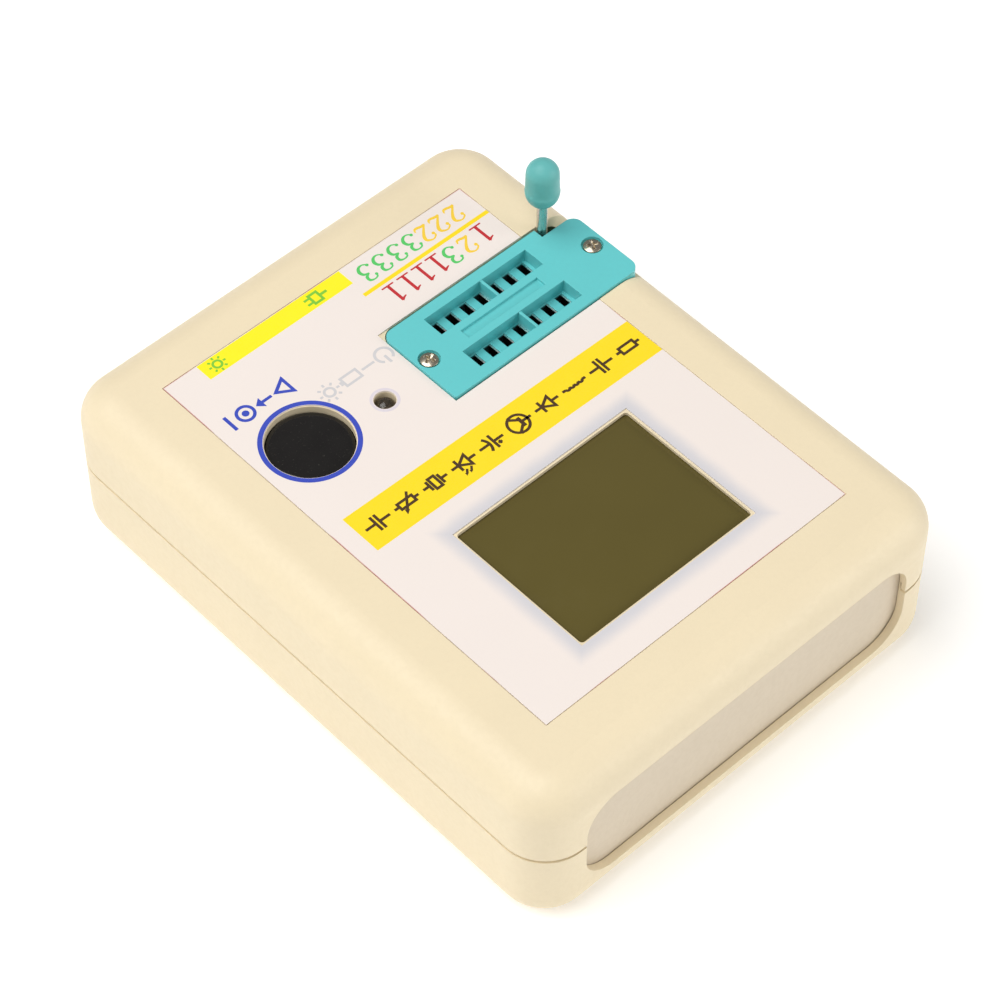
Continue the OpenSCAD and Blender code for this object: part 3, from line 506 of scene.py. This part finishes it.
class Ink:
    """Printed marks of one colour: closed prisms a hundredth of a millimetre proud of the film,
    raised or lowered by their level. All sizes are in millimetres."""

    def __init__(self, level=0.0):
        self.mesh = bmesh.new()
        self.level = level
        self.marks = 0
        self.turn = Matrix.Identity(3)

    def at(self, x, y, scale, angle=0.0):
        """Sets the origin, size and angle of the marks that follow."""
        c, s = math.cos(angle) * scale, math.sin(angle) * scale
        self.turn = Matrix(((c, -s, x), (s, c, y), (0, 0, 1)))
        return self

    def prism(self, left, right, closed):
        """A closed strip between two rows of points."""
        top = TOP + INK_RISE + self.level + INK_STEP * (self.marks % 5)
        self.marks += 1
        rows = []
        for side in (left, right):
            flat = [self.turn @ Vector((x, y, 1)) for x, y in side]
            for z in (top, TOP - INK_ROOT):
                rows.append([self.mesh.verts.new(Vector((p.x, p.y, z)) * MM) for p in flat])
        lt, lb, rt, rb = rows
        count = len(left)
        for i in range(count if closed else count - 1):
            j = (i + 1) % count
            for a, b in ((lt, rt), (rt, rb), (rb, lb), (lb, lt)):
                self.mesh.faces.new((a[i], a[j], b[j], b[i]))
        if not closed:
            self.mesh.faces.new((lt[0], rt[0], rb[0], lb[0]))
            self.mesh.faces.new((lb[-1], rb[-1], rt[-1], lt[-1]))

    def line(self, points, width, closed=False):
        """A stroke of one width, or of widths that change along it."""
        points = [Vector(p) for p in points]
        count = len(points)
        widths = width if isinstance(width, list) else [width] * count
        if len(widths) != count:
            widths = [between(widths, i / (count - 1)) for i in range(count)]
        left, right = [], []
        for i, p in enumerate(points):
            before = points[i - 1] if (i or closed) else p
            after = points[(i + 1) % count] if (i < count - 1 or closed) else p
            d0, d1 = (p - before), (after - p)
            d0 = d0.normalized() if d0.length > 1e-9 else d1.normalized()
            d1 = d1.normalized() if d1.length > 1e-9 else d0
            along = d0 + d1
            along = along.normalized() if along.length > 1e-6 else d1
            reach = widths[i] / 2 / max(SHARPEST, abs(along.dot(d1)))
            across = Vector((-along.y, along.x)) * reach
            left.append(p + across)
            right.append(p - across)
        self.prism(left, right, closed)
        return self

    def ring(self, x, y, r, width, **part):
        """A circle, or an arc when a sweep is given."""
        return self.line(circle(x, y, r, **part), width, closed="sweep" not in part)

    def patch(self, corners):
        """A filled four-sided or three-sided patch."""
        a, b, c = corners[:3]
        d = corners[3] if len(corners) > 3 else c
        if d is c:
            c = (Vector(b) + Vector(d)) / 2
        self.prism([a, b], [d, c], False)
        return self

    def dot(self, x, y, r):
        """A filled circle, drawn as a short stroke that swells and narrows."""
        angles = [math.pi * i / 12 for i in range(13)]
        return self.line([(x - r * math.cos(a), y) for a in angles],
                         [max(0.02 * r, 2 * r * math.sin(a)) for a in angles])

    def rays(self, near, far, width):
        """Eight short strokes that point away from the origin."""
        for i in range(8):
            turn = math.pi * i / 4
            way = Vector((math.cos(turn), math.sin(turn)))
            self.line([way * near, way * far], width)
        return self

    def make(self, name, material):
        """Turns the marks into one piece on the case."""
        bmesh.ops.recalc_face_normals(self.mesh, faces=self.mesh.faces)
        data = bpy.data.meshes.new(name)
        self.mesh.to_mesh(data)
        self.mesh.free()
        return add_piece(name, data, material, "case")


def ink(name, base, fade=0.10):
    """Printing ink: slightly uneven cover with a faint dot screen."""
    look = Look(name, 0.45, Specular_IOR_Level=0.12)
    patchy = look.mix(look.noise(2.2, 4, 0.6), scaled(base, 1 - fade), scaled(base, 1 + fade))
    screen = look.ramp(look.cells(0.16), 0.1, 0.6, 0, 0.35)
    look.colour(look.mix(screen, patchy, tuple(c + (1 - c) * 0.06 for c in base)))
    look.roughness(look.ramp(look.noise(4, 3), 0.3, 0.7, 0.41, 0.51))
    look.normal(look.bump(look.noise(1.1, 2), 0.006, 0.6))
    return look.material


def numeral(mark, value):
    """Numeral one unit high on a baseline at y 0, centred on x 0."""
    if value == 1:
        mark.line([(0, 0.02), (0, 0.98)], 0.135)
        mark.line([(-0.29, 0.03), (0.29, 0.03)], 0.07)
        mark.line([(-0.24, 0.85), (-0.11, 0.89), (0.04, 0.97)], [0.05, 0.085, 0.12])
    elif value == 2:
        bowl = smooth([(-0.25, 0.70), (-0.24, 0.86), (-0.02, 0.975), (0.22, 0.86), (0.23, 0.68),
                       (0.06, 0.42), (-0.27, 0.06)])
        mark.line(bowl, [0.07, 0.085, 0.07, 0.135, 0.165, 0.125, 0.08])
        mark.line(smooth([(-0.28, 0.05), (-0.10, 0.085), (0.10, 0.035), (0.25, 0.05), (0.32, 0.20)]),
                  [0.07, 0.135, 0.135, 0.11, 0.05])
        mark.dot(-0.235, 0.71, 0.08)
    else:
        upper = smooth([(-0.24, 0.80), (-0.18, 0.93), (0.01, 0.975), (0.20, 0.89), (0.19, 0.68),
                        (-0.03, 0.55)])
        lower = smooth([(-0.03, 0.555), (0.20, 0.49), (0.27, 0.27), (0.14, 0.06), (-0.08, 0.015),
                        (-0.27, 0.14)])
        mark.line(upper, [0.07, 0.08, 0.07, 0.135, 0.145, 0.06])
        mark.line(lower, [0.06, 0.125, 0.165, 0.125, 0.07, 0.07])
        mark.dot(-0.235, 0.80, 0.072)
        mark.dot(-0.255, 0.155, 0.078)


# pin numbers in two rows: base line, lift of the twos and threes, each numeral's place and value
ROWS = (
    (-34.42, 0, ((-22.5, 2), (-19.85, 2), (-17.35, 2), (-14.9, 3), (-12.3, 3), (-9.7, 3), (-7.1, 3))),
    (-29.50, 0.35, ((-22.8, 1), (-20.1, 2), (-17.35, 3), (-14.9, 1), (-12.45, 1), (-9.95, 1), (-7.4, 1))),
)
ONE_LIFT = 0.05
ONE_HEIGHT = 3.35
NUMERAL_HEIGHT = 3.1
marks = {1: Ink(), 2: Ink(), 3: Ink()}
for base_y, lift, places in ROWS:
    for x, value in places:
        if value == 1:
            numeral(marks[1].at(x, base_y + ONE_LIFT, ONE_HEIGHT), 1)
        else:
            numeral(marks[value].at(x, base_y + lift, NUMERAL_HEIGHT), value)
marks[1].make("numerals_one", ink("red_ink", srgb(196, 44, 50)))
marks[2].make("numerals_two", ink("gold_ink", srgb(250, 208, 62)))
marks[3].make("numerals_three", ink("green_ink", srgb(88, 202, 104)))

# coloured grounds, a little lower than the marks printed on them
GROUND = -0.004
OVERPRINT = 0.004
yellow = ink("yellow_ink", srgb(255, 222, 28), fade=0.04)
lemon = ink("lemon_ink", srgb(255, 241, 30), fade=0.04)
band = Ink(GROUND)
band.patch([(-25.99, -3.84), (-25.99, 2.70), (22.4, 2.12), (22.4, -4.42)])
band.make("title_band", yellow)
rule = Ink(GROUND)
rule.line([(-25.98, -30.22), (-4.1, -30.22)], 0.62)
rule.make("divider_rule", yellow)
strip = Ink(GROUND)
strip.patch([(-4.45, -35.66), (19.7, -35.66), (19.7, -32.78), (-4.45, -32.78)])
strip.make("port_strip", lemon)

# component symbols on a line that follows the band's slight tilt
brown = Ink(OVERPRINT)
PEN = 0.36
TILT = -0.012
FIRST = (-23.0, -0.62)
STEP = (4.72, -0.056)


def symbol(index, kind):
    """A circuit symbol with a lead at each side, at its place in the row."""
    mark = brown.at(FIRST[0] + STEP[0] * index, FIRST[1] + STEP[1] * index, 1.12, TILT)
    lead = 1.75
    if kind == "resistor":
        mark.line([(-1.05, -0.5), (1.05, -0.5), (1.05, 0.5), (-1.05, 0.5)], PEN, closed=True)
        inner = 1.05
    elif kind == "capacitor":
        mark.line([(-0.28, -1.15), (-0.28, 1.15)], PEN)
        mark.line([(0.28, -1.15), (0.28, 1.15)], PEN)
        inner = 0.28
    elif kind == "coil":
        for x in (-0.96, -0.32, 0.32, 0.96):
            mark.line(circle(x, -0.1, 0.32, 14, 180, -180), PEN)
        inner = 1.28
    elif kind in ("diode", "lamp"):
        mark.line([(-0.7, -0.85), (0.7, 0), (-0.7, 0.85)], PEN, closed=True)
        mark.line([(0.75, -0.9), (0.75, 0.9)], PEN)
        if kind == "lamp":
            for shift in (0, 0.65):
                mark.line([(-0.35 + shift, 0.95), (0.1 + shift, 1.5)], PEN * 0.8)
                mark.patch([(-0.12 + shift, 1.48), (0.28 + shift, 1.72), (0.26 + shift, 1.28)])
        inner = 0.7
    elif kind == "transistor":
        mark.ring(0.1, 0, 1.32, PEN)
        mark.line([(-0.35, -0.75), (-0.35, 0.75)], PEN * 1.3)
        mark.line([(-0.35, 0.3), (0.55, 1.0), (0.55, 1.45)], PEN)
        mark.line([(-0.35, -0.3), (0.55, -1.0), (0.55, -1.45)], PEN)
        mark.patch([(0.08, -0.95), (0.55, -1.02), (0.35, -0.58)])
        mark.line([(-lead, 0), (-0.35, 0)], PEN)
        return
    elif kind == "polar":
        mark.line([(-0.32, -1.1), (-0.32, 1.1)], PEN)
        mark.line(circle(1.75, 0, 1.5, 12, 137, 86), PEN)
        mark.line([(-1.15, 0.55), (-0.6, 0.55)], PEN * 0.8)
        mark.line([(-0.875, 0.28), (-0.875, 0.82)], PEN * 0.8)
        inner = 0.3
    elif kind == "crystal":
        mark.line([(-0.42, -0.85), (0.42, -0.85), (0.42, 0.85), (-0.42, 0.85)], PEN, closed=True)
        mark.line([(-0.85, -0.75), (-0.85, 0.75)], PEN)
        mark.line([(0.85, -0.75), (0.85, 0.75)], PEN)
        inner = 0.85
    else:
        mark.line([(-1.05, -0.45), (1.05, -0.45), (1.05, 0.45), (-1.05, 0.45)], PEN, closed=True)
        mark.line([(-0.95, -1.2), (0.75, 1.05)], PEN * 0.9)
        mark.patch([(0.35, 0.95), (1.0, 1.4), (0.85, 0.62)])
        inner = 1.05
    mark.line([(-lead, 0), (-inner, 0)], PEN)
    mark.line([(inner, 0), (lead, 0)], PEN)


for index, kind in enumerate(("resistor", "capacitor", "coil", "diode", "transistor", "polar",
                              "lamp", "crystal", "variable", "capacitor")):
    symbol(index, kind)
brown.make("component_symbols", ink("brown_ink", srgb(74, 50, 22), fade=0.2))

# start marks beside the ring round the button: play, arrow, target and bar
blue = Ink()
blue.ring(*BUTTON, 6.32, 0.66, steps=96)
blue.at(13.9, -25.5, 1.12).line([(-0.75, -1.15), (1.05, 0), (-0.75, 1.15)], 0.42, closed=True)
blue.at(17.0, -25.5, 1.05).line([(-1.15, 0), (0.75, 0)], 0.42)
blue.patch([(0.30, -0.85), (1.3, 0), (0.30, 0.85)])
blue.at(20.1, -25.5, 1.12).ring(0, 0, 1.05, 0.4, steps=40).dot(0, 0, 0.45)
blue.at(22.6, -25.5, 1.12).line([(0, -1.2), (0, 1.2)], 0.44)
blue.make("start_marks", ink("blue_ink", srgb(56, 76, 188)))

# power marks in pale grey: power sign, dash, cell and lamp
grey = Ink()
grey.at(0.8, -20.9, 1.15).ring(0, 0, 1.05, 0.34, steps=36, start=125, sweep=290)
grey.line([(0, 0.1), (0, 1.35)], 0.34)
grey.at(3.5, -20.9, 1.15).line([(-0.9, 0), (0.9, 0)], 0.32)
grey.at(6.5, -20.9, 1.15)
grey.line([(-1.2, -0.65), (1.0, -0.65), (1.0, 0.65), (-1.2, 0.65)], 0.32, closed=True)
grey.line([(1.3, -0.3), (1.3, 0.3)], 0.34)
grey.at(10.0, -20.9, 1.15).ring(0, 0, 0.62, 0.32, steps=30)
grey.rays(0.98, 1.38, 0.28)
grey.make("power_marks", ink("grey_ink", srgb(208, 206, 208), fade=0.05))

# port marks on the strip: a plug and a lamp
green = Ink(OVERPRINT)
green.at(0.9, -34.2, 1.15).line([(-1.75, 0), (-0.7, 0)], 0.36)
green.line([(-0.7, -0.7), (0.45, -0.7), (0.45, 0.7), (-0.7, 0.7)], 0.34, closed=True)
green.line([(0.45, 0.38), (1.3, 0.38)], 0.3).line([(0.45, -0.38), (1.3, -0.38)], 0.3)
green.at(17.4, -34.2, 1.1).ring(0, 0, 0.55, 0.3, steps=30)
green.rays(0.84, 1.2, 0.26)
green.make("port_marks", ink("leaf_ink", srgb(128, 200, 60)))

# pale ring round the power lamp
lilac = Ink()
lilac.ring(*LAMP, 1.78, 0.38, steps=48)
lilac.make("lamp_ring", ink("lilac_ink", srgb(222, 214, 222), fade=0.04))

# ---- turned and shaped pieces ----

def finished(name, mesh, material, body, crease):
    """A piece from a closed bmesh in millimetres, smooth up to the crease angle."""
    bmesh.ops.scale(mesh, vec=(MM, MM, MM), verts=mesh.verts)
    bmesh.ops.recalc_face_normals(mesh, faces=mesh.faces)
    data = bpy.data.meshes.new(name)
    mesh.to_mesh(data)
    mesh.free()
    data.shade_smooth()
    data.set_sharp_from_angle(angle=math.radians(crease))
    return add_piece(name, data, material, body)


def turn_profile(mesh, x, y, profile, steps, depth=None):
    """Adds a closed turned form from (radius, height) pairs that start and end on the axis.
    A depth function lowers its points."""
    rings = []
    for r, z in profile:
        if r < 1e-6:
            rings.append([mesh.verts.new((x, y, z))])
            continue
        ring = []
        for i in range(steps):
            a = 2 * math.pi * i / steps
            drop = depth(r * math.cos(a), r * math.sin(a), z) if depth else 0
            ring.append(mesh.verts.new((x + r * math.cos(a), y + r * math.sin(a), z - drop)))
        rings.append(ring)
    for low, high in zip(rings, rings[1:]):
        for i in range(steps):
            j = (i + 1) % steps
            corners = [low[i % len(low)], low[j % len(low)], high[j % len(high)], high[i % len(high)]]
            mesh.faces.new(list(dict.fromkeys(corners)))


def block(mesh, low, high, round_mm):
    """Adds a box between two corners, with its edges rounded."""
    made = bmesh.ops.create_cube(mesh, size=1)["verts"]
    for v in made:
        v.co = Vector([low[k] + (v.co[k] + 0.5) * (high[k] - low[k]) for k in range(3)])
    edges = list({e for v in made for e in v.link_edges})
    bmesh.ops.bevel(mesh, geom=edges, offset=round_mm, segments=3, profile=0.5, affect="EDGES")


def arc(r, z, start, end, steps):
    """Profile points on a circle of radius r about height z, angles from the horizontal."""
    angles = [math.radians(start + (end - start) * i / steps) for i in range(steps + 1)]
    return [(max(0.0, r * math.cos(a)), z + r * math.sin(a)) for a in angles]


# start button: glossy, slightly domed, with a flange that holds it under the case
gloss = Look("button_gloss", 0.07, Specular_IOR_Level=0.42)
dust = gloss.ramp(gloss.noise(0.35, 3, 0.7), 0.60, 0.72)
clean = gloss.mix(gloss.noise(2.5, 3), (0.009, 0.008, 0.008), (0.014, 0.013, 0.012))
gloss.colour(gloss.mix(dust, clean, (0.030, 0.027, 0.024)))
gloss.roughness(gloss.math("ADD", gloss.ramp(gloss.noise(1.5, 4, 0.6), 0.35, 0.75, 0.05, 0.13),
                           gloss.math("MULTIPLY", dust, 0.25)))
gloss.normal(gloss.bump(gloss.noise(4.5, 1), 0.02, 0.5))
CAP_R = 5.7
CAP_DOME = ((0, 0), (1.2, 0.004), (2.4, 0.016), (3.4, 0.036), (4.3, 0.066), (5.0, 0.105),
            (5.32, 0.15), (5.52, 0.22), (5.64, 0.31), (CAP_R, 0.42))   # radius, drop from the middle
FLANGE_R = 6.6
FLANGE_FOOT = 23.2
FLANGE_TOP = 24.3
STEM_R = 2.66      # bore that takes the plunger
CHAMFER = 0.1
cap_foot, cap_top = (corner.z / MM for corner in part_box("button_cap"))
stem_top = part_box("button_plunger")[1].z / MM
mesh = bmesh.new()
turn_profile(mesh, *BUTTON, [(r, cap_top - drop) for r, drop in CAP_DOME] + [
    (CAP_R, FLANGE_TOP), (FLANGE_R - CHAMFER, FLANGE_TOP), (FLANGE_R, FLANGE_TOP - CHAMFER),
    (FLANGE_R, FLANGE_FOOT + CHAMFER), (FLANGE_R - CHAMFER, FLANGE_FOOT), (CAP_R, FLANGE_FOOT),
    (CAP_R, cap_foot + CHAMFER), (CAP_R - CHAMFER, cap_foot), (STEM_R + 0.06, cap_foot),
    (STEM_R, cap_foot + CHAMFER), (STEM_R, stem_top), (0, stem_top)], 96)
cap = finished("button_cap_turned", mesh, gloss.material, "button", 50)
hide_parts("button_cap")

# lever knob: full rounded foot, parting ridge and a hemispherical end over a blind bore
KNOB_END_R = 2.235
KNOB_BODY = ((2.25, 4.6), (2.27, 3.9), (2.29, 3.2), (2.30, 2.62), (2.33, 2.56), (2.35, 2.47),
             (2.345, 2.3), (2.325, 2.05), (2.27, 1.72), (2.17, 1.38), (2.02, 1.06), (1.82, 0.76),
             (1.57, 0.48), (1.30, 0.24), (1.10, 0.08), (0.98, 0))   # radius, height over the foot
KNOB_BORE = ((0.82, 0), (0.75, 0.08), (0.75, 2.12), (0, 2.12))
foot, tip = (corner.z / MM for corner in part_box("lever_knob"))
mesh = bmesh.new()
turn_profile(mesh, *middle("lever_knob"), arc(KNOB_END_R, tip - KNOB_END_R, 90, 0, 16)
             + [(r, foot + rise) for r, rise in KNOB_BODY + KNOB_BORE], 72)
knob = finished("lever_knob_turned", mesh, knob_plastic, "lever", 60)
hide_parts("lever_knob")

# socket screws: domed heads with a pressed cross, over threaded shanks, sizes in millimetres
CROSS_HALF = 0.17     # half the width of an arm
CROSS_REACH = 0.80    # from the middle to the end of an arm
CROSS_DEPTH = 0.42
CROSS_WALL = 0.08     # width of the sloping sides
HEAD_STEPS = 28       # rings over the head's dome
HEAD_DOME = 0.93      # share of the head's radius that is domed
HEAD_DROP = 0.27      # from the crown to the edge of the dome
HEAD_T = 0.65
SHANK_R = 0.75
ROOT_R = 0.62         # bottom of the thread
THREAD_PITCH = 0.42


def cross(x, y):
    """How deep the pressed cross is below the head at a point."""
    along_x = max(abs(x) - CROSS_REACH, abs(y) - CROSS_HALF)
    along_y = max(abs(y) - CROSS_REACH, abs(x) - CROSS_HALF)
    share = min(1.0, max(0.0, 0.5 - min(along_x, along_y) / CROSS_WALL))
    centre = math.hypot(x, y) / CROSS_REACH
    return CROSS_DEPTH * share * max(0.25, 1 - 0.7 * centre ** 2)


screw_low, screw_high = (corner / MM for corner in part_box("socket_screws"))
head_r = (screw_high.y - screw_low.y) / 2
crown, point = screw_high.z, screw_low.z


def socket_screw(name, x, angle):
    """One screw, with its cross turned by an angle."""
    c, s = math.cos(angle), math.sin(angle)

    def recess(u, v, z):
        """The turned cross, on the head's top only."""
        return cross(u * c - v * s, u * s + v * c) if z > crown - 0.45 else 0.0

    profile = [(0, crown - 0.34)]
    for i in range(1, HEAD_STEPS + 1):
        share = i / HEAD_STEPS
        profile.append((head_r * HEAD_DOME * share, crown - HEAD_DROP * share ** 2.4))
    profile += [(head_r * 0.97, crown - 0.34), (head_r, crown - 0.44), (head_r, crown - HEAD_T + 0.03),
                (head_r - 0.03, crown - HEAD_T), (SHANK_R, crown - HEAD_T)]
    z = crown - 0.9
    while z > point + 0.7:
        profile += [(SHANK_R, z), (ROOT_R, z - 0.12), (ROOT_R, z - 0.22), (SHANK_R, z - 0.34)]
        z -= THREAD_PITCH
    profile += [(0.55, point + 0.35), (0.2, point), (0, point)]
    mesh = bmesh.new()
    turn_profile(mesh, x, middle("socket_screws")[1], profile, 96, recess)
    screw = finished(name, mesh, nickel, "case", 30)
    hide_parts("socket_screws")


socket_screw("socket_screw_0", screw_low.x + head_r, 0.45)
socket_screw("socket_screw_1", screw_high.x - head_r, -0.30)

# power lamp: smoky clear lens over a die cup and two posts
lens = Look("lamp_lens", 0.05, IOR=1.5, Transmission_Weight=0.92)
lens.colour(lens.mix(lens.noise(1.4, 3), (0.40, 0.30, 0.19), (0.52, 0.40, 0.27)))
lens.roughness(lens.ramp(lens.noise(0.5, 3), 0.35, 0.75, 0.03, 0.14))
lens.normal(lens.bump(lens.noise(0.9, 2), 0.01, 0.5))
LENS_R = 1.45
LENS_FOOT = -4.05        # heights are from the middle of the dome
LENS_FLANGE = ((LENS_R, -2.97), (1.5, -3.05), (1.66, -3.05), (1.7, -3.11), (1.7, -3.97),
               (1.64, LENS_FOOT), (0, LENS_FOOT))
CUP = ((0, -1.4), (0.30, -1.4), (0.56, -0.85), (0.66, -0.85), (0.66, -1.6), (0.36, -1.95),
       (0.36, -3.75), (0, -3.75))
CUP_X = -0.25
POST_X = (0.46, 0.90)
POST_Z = (-3.75, -1.05)
POST_HALF = 0.22
LEG_X = 1.27
LEG_HALF = 0.2
LEG_TOP = -3.55
board_z, lamp_top = (corner.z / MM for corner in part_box("power_lamp"))
dome = lamp_top - LENS_R
mesh = bmesh.new()
turn_profile(mesh, *LAMP, arc(LENS_R, dome, 90, 0, 14) + [(r, dome + z) for r, z in LENS_FLANGE], 64)
lamp = finished("power_lamp_lens", mesh, lens.material, "case", 40)
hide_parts("power_lamp")
mesh = bmesh.new()
turn_profile(mesh, LAMP[0] + CUP_X, LAMP[1], [(r, dome + z) for r, z in CUP], 32)
block(mesh, (LAMP[0] + POST_X[0], LAMP[1] - POST_HALF, dome + POST_Z[0]),
      (LAMP[0] + POST_X[1], LAMP[1] + POST_HALF, dome + POST_Z[1]), 0.05)
for x in (LAMP[0] - LEG_X, LAMP[0] + LEG_X):
    block(mesh, (x - LEG_HALF, LAMP[1] - LEG_HALF, board_z),
          (x + LEG_HALF, LAMP[1] + LEG_HALF, dome + LEG_TOP), 0.04)
posts = finished("power_lamp_posts", mesh, tin, "case", 40)
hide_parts("power_lamp")

# display: rear and front glass with a ledge for the contacts, and the polarising film on top
clear = Look("cell_glass", 0.06, IOR=1.5, Transmission_Weight=0.5)
clear.colour(clear.mix(clear.noise(5, 3), (0.30, 0.34, 0.26), (0.36, 0.40, 0.31)))
clear.roughness(clear.ramp(clear.noise(0.8, 3), 0.3, 0.7, 0.04, 0.12))
clear.normal(clear.bump(clear.noise(2, 2), 0.003))
SHEET_T = 0.74       # rear sheet; the front one takes up the rest
SHEET_GAP = 0.02     # between the sheets, and between sheet and film
LEDGE = 1.6          # contact ledge of the rear sheet
FILM_T = 0.22
FILM_SIDE = 1.2      # the film's distance from the edges of the glass
FILM_LEDGE = 2.0     # the same at the side of the ledge
ROUND = 0.05
low, high = (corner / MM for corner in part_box("display_glass"))
film_foot = high.z - FILM_T
mesh = bmesh.new()
block(mesh, low, (high.x, high.y, low.z + SHEET_T), ROUND)
block(mesh, (low.x, low.y + LEDGE, low.z + SHEET_T + SHEET_GAP),
      (high.x, high.y, film_foot - SHEET_GAP), ROUND)
sheets = finished("display_sheets", mesh, clear.material, "case", 30)
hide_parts("display_glass")

# the film is olive, with painted shade darkening it towards the window's rim, and a faint grid of picture
# dots
OLIVE = srgb(95, 85, 41)
SHADE_START = (12.8, 9.6)    # half width and half length inside the rim of painted shade
SHADE_WIDTH = (2.0, 1.8)     # over which the rim darkens
dots = Look("display_film", 0.10, Specular_IOR_Level=0.42)
painted_rim_shade = dots.math("MAXIMUM", *(
    dots.ramp(dots.past(k, WINDOW[k], SHADE_START[k]), 0, SHADE_WIDTH[k] * MM) for k in (0, 1)))
shade = dots.mix(dots.noise(12, 2), scaled(OLIVE, 0.93), scaled(OLIVE, 1.06))
# painted shade from the window's walls along its rim
shade = dots.mix(dots.math("MULTIPLY", painted_rim_shade, 0.35), shade, scaled(OLIVE, 0.72))
grid = dots.add("ShaderNodeTexBrick", offset=0.0, squash=1.0)
dots.put(grid.inputs["Vector"], dots.place)
for key, value in (("Scale", 1000), ("Brick Width", 0.22), ("Row Height", 0.22), ("Mortar Size", 0.02)):
    grid.inputs[key].default_value = value
dots.colour(dots.mix(dots.math("MULTIPLY", grid.outputs["Fac"], 0.06), shade, scaled(OLIVE, 0.6)))
dots.roughness(dots.ramp(dots.noise(3, 4, 0.6), 0.35, 0.75, 0.08, 0.2))
dots.normal(dots.bump(dots.noise(7, 2), 0.01, 0.4))
mesh = bmesh.new()
block(mesh, (low.x + FILM_SIDE, low.y + FILM_LEDGE, film_foot),
      (high.x - FILM_SIDE, high.y - FILM_SIDE, high.z), ROUND)
polariser = finished("display_film", mesh, dots.material, "case", 30)
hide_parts("display_glass")
